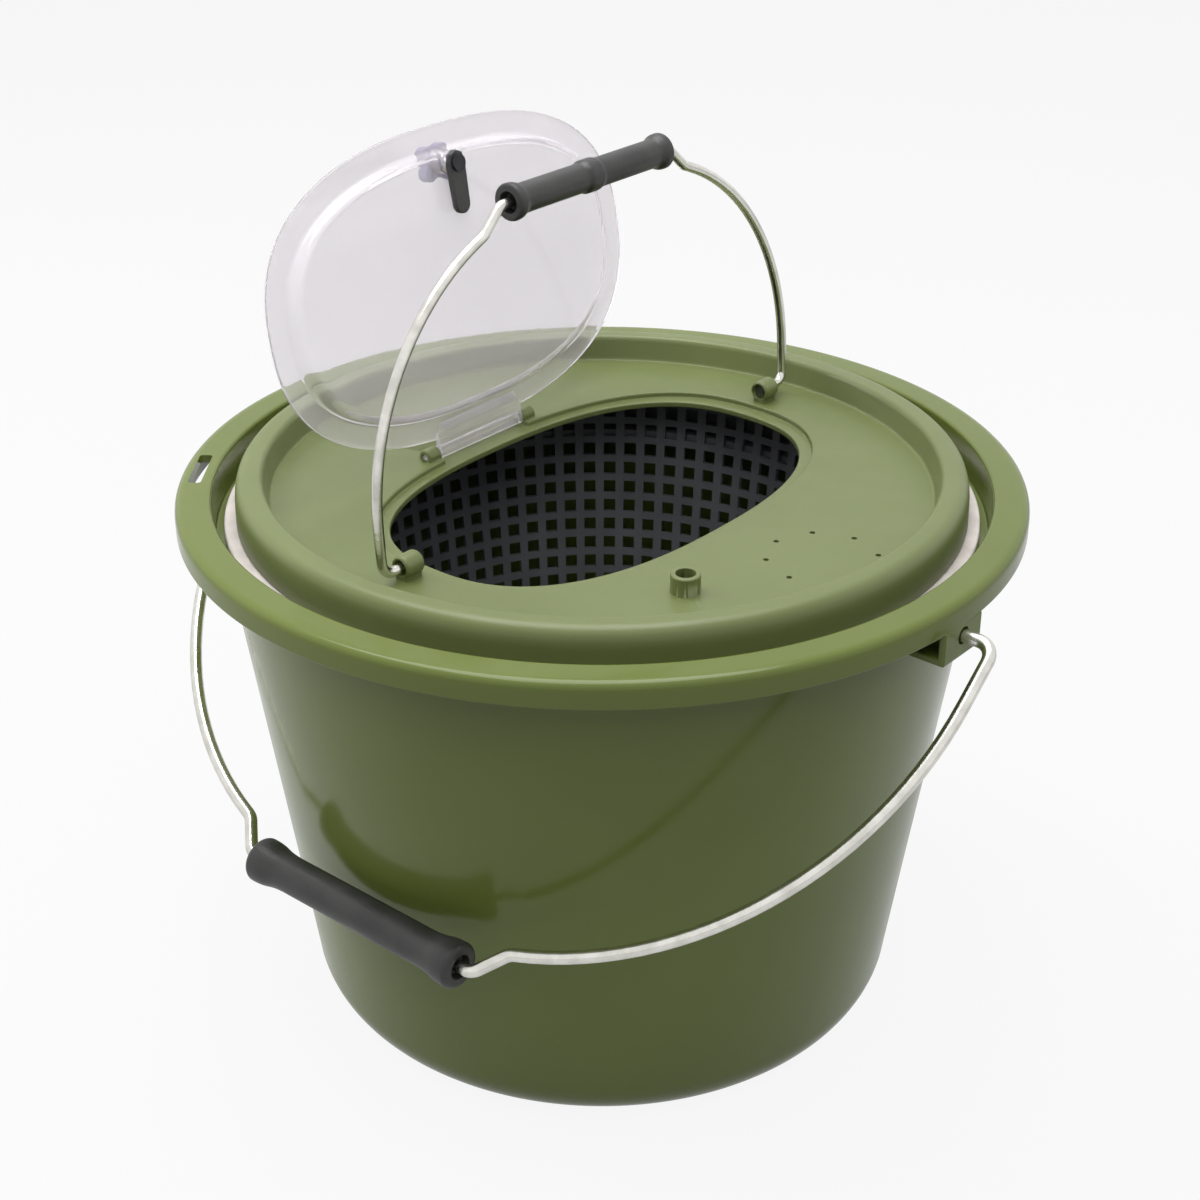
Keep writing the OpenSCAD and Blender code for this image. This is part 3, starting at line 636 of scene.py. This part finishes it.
def finish_tree(tree, geometry, out):
    """Closes a tree: instances made real, then the mesh's material."""
    real = tree.nodes.new("GeometryNodeRealizeInstances")
    paint = tree.nodes.new("GeometryNodeSetMaterial")
    paint.inputs["Material"].default_value = DARK
    tree.links.new(geometry, real.inputs["Geometry"])
    tree.links.new(real.outputs["Geometry"], paint.inputs["Geometry"])
    tree.links.new(paint.outputs["Geometry"], out.inputs["Geometry"])


def basket_wall_tree():
    """A pierced grid wrapped round a cone, with its sizes in metres as inputs."""
    tree = bpy.data.node_groups.new("pierced_cone", "GeometryNodeTree")
    socket(tree, "Columns", "Int", "INPUT", 80)
    socket(tree, "Rows", "Int", "INPUT", 20)
    for name, value in (("Hole share", 0.58), ("Low radius", 0.092), ("Top radius", 0.1095),
                        ("Low height", 0.026), ("Top height", 0.187)):
        socket(tree, name, "Float", "INPUT", value)
    socket(tree, "Geometry", "Geometry", "OUTPUT")
    nodes, link = tree.nodes, tree.links.new
    enter, out = nodes.new("NodeGroupInput"), nodes.new("NodeGroupOutput")
    take = enter.outputs
    flat_grid = pierced(tree, take["Columns"], take["Rows"], take["Hole share"], 1.14)
    spot, parts = nodes.new("GeometryNodeInputPosition"), nodes.new("ShaderNodeSeparateXYZ")
    link(spot.outputs[0], parts.inputs[0])
    turn = nodes.new("ShaderNodeMath")
    turn.operation = "MULTIPLY"
    turn.inputs[1].default_value = 2 * math.pi
    link(parts.outputs["X"], turn.inputs[0])
    radius = blend_between(tree, parts.outputs["Y"], take["Low radius"], take["Top radius"])
    height = blend_between(tree, parts.outputs["Y"], take["Low height"], take["Top height"])
    join = nodes.new("ShaderNodeCombineXYZ")
    for word, target in (("COSINE", "X"), ("SINE", "Y")):
        wave, reach = nodes.new("ShaderNodeMath"), nodes.new("ShaderNodeMath")
        wave.operation, reach.operation = word, "MULTIPLY"
        link(turn.outputs[0], wave.inputs[0])
        link(wave.outputs[0], reach.inputs[0])
        link(radius, reach.inputs[1])
        link(reach.outputs[0], join.inputs[target])
    link(height, join.inputs["Z"])
    wrap, merge = nodes.new("GeometryNodeSetPosition"), nodes.new("GeometryNodeMergeByDistance")
    link(flat_grid, wrap.inputs["Geometry"])
    link(join.outputs[0], wrap.inputs["Position"])
    link(wrap.outputs[0], merge.inputs["Geometry"])
    merge.inputs["Distance"].default_value = 0.00001
    finish_tree(tree, merge.outputs[0], out)
    return tree


def basket_floor_tree():
    """A pierced grid laid flat and trimmed to a round floor."""
    tree = bpy.data.node_groups.new("pierced_floor", "GeometryNodeTree")
    socket(tree, "Cells", "Int", "INPUT", 23)
    for name, value in (("Hole share", 0.58), ("Width", 0.184), ("Reach", 0.087), ("Height", 0.0255)):
        socket(tree, name, "Float", "INPUT", value)
    socket(tree, "Geometry", "Geometry", "OUTPUT")
    nodes, link = tree.nodes, tree.links.new
    enter, out = nodes.new("NodeGroupInput"), nodes.new("NodeGroupOutput")
    take = enter.outputs
    flat_grid = pierced(tree, take["Cells"], take["Cells"], take["Hole share"])
    spot, parts = nodes.new("GeometryNodeInputPosition"), nodes.new("ShaderNodeSeparateXYZ")
    link(spot.outputs[0], parts.inputs[0])
    join = nodes.new("ShaderNodeCombineXYZ")
    for axis in ("X", "Y"):
        reach = nodes.new("ShaderNodeMath")
        reach.operation = "MULTIPLY"
        link(parts.outputs[axis], reach.inputs[0])
        link(take["Width"], reach.inputs[1])
        link(reach.outputs[0], join.inputs[axis])
    link(take["Height"], join.inputs["Z"])
    lay = nodes.new("GeometryNodeSetPosition")
    link(flat_grid, lay.inputs["Geometry"])
    link(join.outputs[0], lay.inputs["Position"])
    again, flat = nodes.new("GeometryNodeInputPosition"), nodes.new("ShaderNodeVectorMath")
    flat.operation = "MULTIPLY"
    flat.inputs[1].default_value = (1, 1, 0)
    link(again.outputs[0], flat.inputs[0])
    span, far = nodes.new("ShaderNodeVectorMath"), nodes.new("ShaderNodeMath")
    span.operation, far.operation = "LENGTH", "GREATER_THAN"
    link(flat.outputs[0], span.inputs[0])
    link(span.outputs["Value"], far.inputs[0])
    link(take["Reach"], far.inputs[1])
    trim = nodes.new("GeometryNodeDeleteGeometry")
    trim.domain = "FACE"
    link(lay.outputs[0], trim.inputs["Geometry"])
    link(far.outputs[0], trim.inputs["Selection"])
    finish_tree(tree, trim.outputs[0], out)
    return tree


def grown(name, tree, inputs):
    """Runs a tree with its inputs set by identifier, and keeps the plain mesh that it makes."""
    mesh = bpy.data.meshes.new(name)
    obj = bpy.data.objects.new(name, mesh)
    bpy.context.scene.collection.objects.link(obj)
    step = obj.modifiers.new("tree", "NODES")
    step.node_group = tree
    for item in tree.interface.items_tree:
        if item.item_type == "SOCKET" and item.in_out == "INPUT" and item.name in inputs:
            step[item.identifier] = inputs[item.name]
    return applied(obj)


def sheet(name, tree, inputs, thickness):
    """A grown mesh with its faces outward, given a thickness inward."""
    obj = grown(name, tree, inputs)
    outward(obj)
    wall = obj.modifiers.new("wall", "SOLIDIFY")
    wall.thickness = thickness * MM
    wall.offset = -1.0
    return applied(obj)


def basket():
    """The pierced wall and floor, with the rings that stiffen them and a thin dark ring just behind the top
    windows, which makes them look dark.
    """
    pieces = [sheet("basket_wall", basket_wall_tree(), {"Columns": 80, "Rows": 20}, 2.0),
              sheet("basket_floor", basket_floor_tree(), {"Cells": 23}, 1.6)]
    rings = {"basket_collar": [(107.3, 186.4, 0.3), (109.4, 186.4, 0.3), (109.6, 189.5, 0.3),
                               (120.0, 189.5, 0.5), (120.0, 191.9, 0.5), (107.6, 191.9, 0.5)],
             "basket_shelf": [(109.0, 171.5, 0.3), (127.6, 171.5, 0.5), (127.6, 173.9, 0.5),
                              (109.2, 173.9, 0.3)],
             # A thin ring of the dark mesh just behind the top windows of the wall; it makes them look dark
             # from outside
             "dark_ring_behind_windows": [(118.6, 173.4, 0.2), (119.8, 173.4, 0.2), (119.8, 190.0, 0.2),
                               (118.6, 190.0, 0.2)],
             "basket_foot": [(85.5, 24.1, 0.4), (91.9, 24.1, 0.8), (92.3, 27.6, 0.4), (90.2, 27.6, 0.4),
                             (90.0, 26.4, 0.3), (85.5, 26.4, 0.4)]}
    for name, corners in rings.items():
        pieces.append(lathe(name, rounded(corners, 3, True), 188, True))
    return pieces


def joined(name, pieces):
    """Several meshes as one object."""
    bm = bmesh.new()
    for piece in pieces:
        bm.from_mesh(piece.data)
        bpy.data.objects.remove(piece)
    mesh = bpy.data.meshes.new(name)
    bm.to_mesh(mesh)
    bm.free()
    obj = bpy.data.objects.new(name, mesh)
    bpy.context.scene.collection.objects.link(obj)
    soften(obj, 30)
    return obj


def dress(obj, finish, body, slot_name, *nodes):
    """Gives a finished piece its material and body, and hides the imported nodes that it stands for. The
    slot name is not used.
    """
    obj.data.materials.clear()
    obj.data.materials.append(finish)
    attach(obj, body)
    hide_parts(*nodes)


dress(bucket(), GREEN, "bucket", "green_plastic", "outer_bucket")
dress(cover(), SATIN, "insert", "green_plastic", "top_cover")
dress(joined("basket_mesh", basket()), DARK, "insert", "dark_mesh", "basket")
ring_in, ring_out, lip_out, lip_z = 121.6, 128.4, 133.6, 191.2
ring_profile = [(ring_in, RING_LOW_Z, 1.2), (ring_out, RING_LOW_Z, 1.2), (ring_out + 1.5, lip_z, 0.6),
                (lip_out, lip_z, 0.8), (lip_out, RING_TOP_Z, 1.2), (ring_in, RING_TOP_Z, 1.0)]
ring = lathe("float_ring_foam", rounded(ring_profile, 5, True), 192, True)
dress(ring, FOAM, "insert", "foam", "float_ring")
dress(lid(), MILKY, "lid", "milky_plastic", "lid")
dress(knob(), SMOKY, "latch", "smoky_plastic", "latch_knob")
dress(lever(), BLACK, "latch", "black_plastic", "latch_lever")

outer_half = [(6.6, 36.0, 5.0), (8.1, 42.5, 2.5), (8.2, 47.2, 0.9), (6.9, 48.5, 0.8)]
outer = grip("outer_grip_moulding", OUTER_GRIP, (1, 0, 0), outer_half, WIRE_OUTER_R, 4.3)
dress(outer, BLACK, "outer_handle_grip", "black_plastic", "outer_grip")
inner_half = [(5.7, 2.6, 0.8), (5.0, 4.2, 0.8), (5.0, 34.0, 1.2), (6.2, 36.4, 0.8), (6.3, 38.9, 0.6),
              (5.6, 39.5, 0.4)]
inner = grip("inner_grip_moulding", INNER_GRIP, (0, 1, 0), inner_half, WIRE_INNER_R, 3.6)
dress(inner, BLACK, "inner_handle_grip", "black_plastic", "inner_grip")

# Wires and screws keep their own solids and take a finish
metals = {"outer_bail": (WIRE, "wire"), "inner_bail": (WIRE, "wire"),
          "cover_screws": (STEEL, "screw_steel"), "latch_screw": (DULL, "screw_steel")}
for node, (finish, slot_name) in metals.items():
    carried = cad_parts[node]
    if not carried.material_slots:
        carried.data.materials.append(finish)
    for place in carried.material_slots:
        place.material = finish


# Studio: a pale floor, a white surround and four soft lamps
def stage_floor():
    """A wide floor, nearly white to the camera, half as bright in reflections and matte grey to light."""
    reach, drop = 9000, -0.4
    points = [(x * reach, y * reach, drop) for x, y in ((-1, -1), (1, -1), (1, 1), (-1, 1))]
    floor = make("studio_floor", points, [(0, 1, 2, 3)])
    mat = bpy.data.materials.new("pale_floor")
    mat.use_nodes = True
    nodes, link = mat.node_tree.nodes, mat.node_tree.links.new
    nodes.clear()
    matte, glow = nodes.new("ShaderNodeBsdfDiffuse"), nodes.new("ShaderNodeEmission")
    path, share, sheen = (nodes.new("ShaderNode" + kind) for kind in ("LightPath", "Math", "Math"))
    mix, out = nodes.new("ShaderNodeMixShader"), nodes.new("ShaderNodeOutputMaterial")
    matte.inputs["Color"].default_value = (0.42, 0.42, 0.42, 1)
    glow.inputs["Color"].default_value = (1, 1, 1, 1)
    glow.inputs["Strength"].default_value = 1.0
    share.operation = "MULTIPLY"
    share.inputs[1].default_value = 0.90
    link(path.outputs["Is Camera Ray"], share.inputs[0])
    sheen.operation = "MULTIPLY_ADD"
    sheen.inputs[1].default_value = 0.50
    link(path.outputs["Is Glossy Ray"], sheen.inputs[0])
    link(share.outputs[0], sheen.inputs[2])
    link(sheen.outputs[0], mix.inputs["Fac"])
    link(matte.outputs[0], mix.inputs[1])
    link(glow.outputs[0], mix.inputs[2])
    link(mix.outputs[0], out.inputs["Surface"])
    floor.data.materials.append(mat)


def surround():
    """Soft light from all sides, shown as white to the camera, in reflections and through the lid."""
    world = bpy.data.worlds.new("studio")
    bpy.context.scene.world = world
    world.use_nodes = True
    nodes, link = world.node_tree.nodes, world.node_tree.links.new
    nodes.clear()
    soft, white = nodes.new("ShaderNodeBackground"), nodes.new("ShaderNodeBackground")
    path, either, any_way = (nodes.new("ShaderNode" + kind) for kind in ("LightPath", "Math", "Math"))
    mix, out = nodes.new("ShaderNodeMixShader"), nodes.new("ShaderNodeOutputWorld")
    soft.inputs["Color"].default_value = (0.98, 0.99, 1.0, 1)
    soft.inputs["Strength"].default_value = 0.22
    white.inputs["Strength"].default_value = 1.0
    white.inputs["Color"].default_value = (1, 1, 1, 1)
    either.operation = "MAXIMUM"
    link(path.outputs["Is Camera Ray"], either.inputs[0])
    link(path.outputs["Is Transmission Ray"], either.inputs[1])
    any_way.operation = "MAXIMUM"
    link(either.outputs[0], any_way.inputs[0])
    link(path.outputs["Is Glossy Ray"], any_way.inputs[1])
    link(any_way.outputs[0], mix.inputs["Fac"])
    link(soft.outputs[0], mix.inputs[1])
    link(white.outputs[0], mix.inputs[2])
    link(mix.outputs[0], out.inputs["Surface"])


def lamp(name, place, size, power, shines=True):
    """An area lamp aimed at the bucket's middle. Without shine it isn't seen in reflections."""
    aim = (0, 0, 0.12)
    data = bpy.data.lights.new(name, "AREA")
    data.shape = "RECTANGLE"
    data.size, data.size_y = size
    data.energy = power
    obj = bpy.data.objects.new(name, data)
    obj.location = place
    obj.rotation_euler = (Vector(aim) - Vector(place)).to_track_quat("-Z", "Y").to_euler()
    obj.visible_glossy = shines
    bpy.context.scene.collection.objects.link(obj)


def photo_camera():
    """Looks down on the bucket from the photograph's side, distance and height."""
    data = bpy.data.cameras.new("camera")
    data.lens = 63.4
    data.clip_end = 50
    obj = bpy.data.objects.new("camera", data)
    obj.location = (0.4402, -0.5258, 0.5147)
    obj.rotation_euler = (math.radians(90 - 27.82), 0, math.radians(40))
    bpy.context.scene.collection.objects.link(obj)
    bpy.context.scene.camera = obj


stage_floor()
surround()
lamp("overhead", (-0.26, 0.12, 1.7), (1.3, 1.3), 26)
lamp("front_key", (0.62, -0.62, 1.30), (0.9, 0.9), 9, False)
lamp("left_softbox", (-1.10, -0.55, 0.75), (0.7, 1.1), 14, False)
lamp("right_softbox", (0.80, 0.95, 0.7), (0.7, 1.1), 5, False)
photo_camera()
bpy.context.scene.view_settings.view_transform = "Standard"
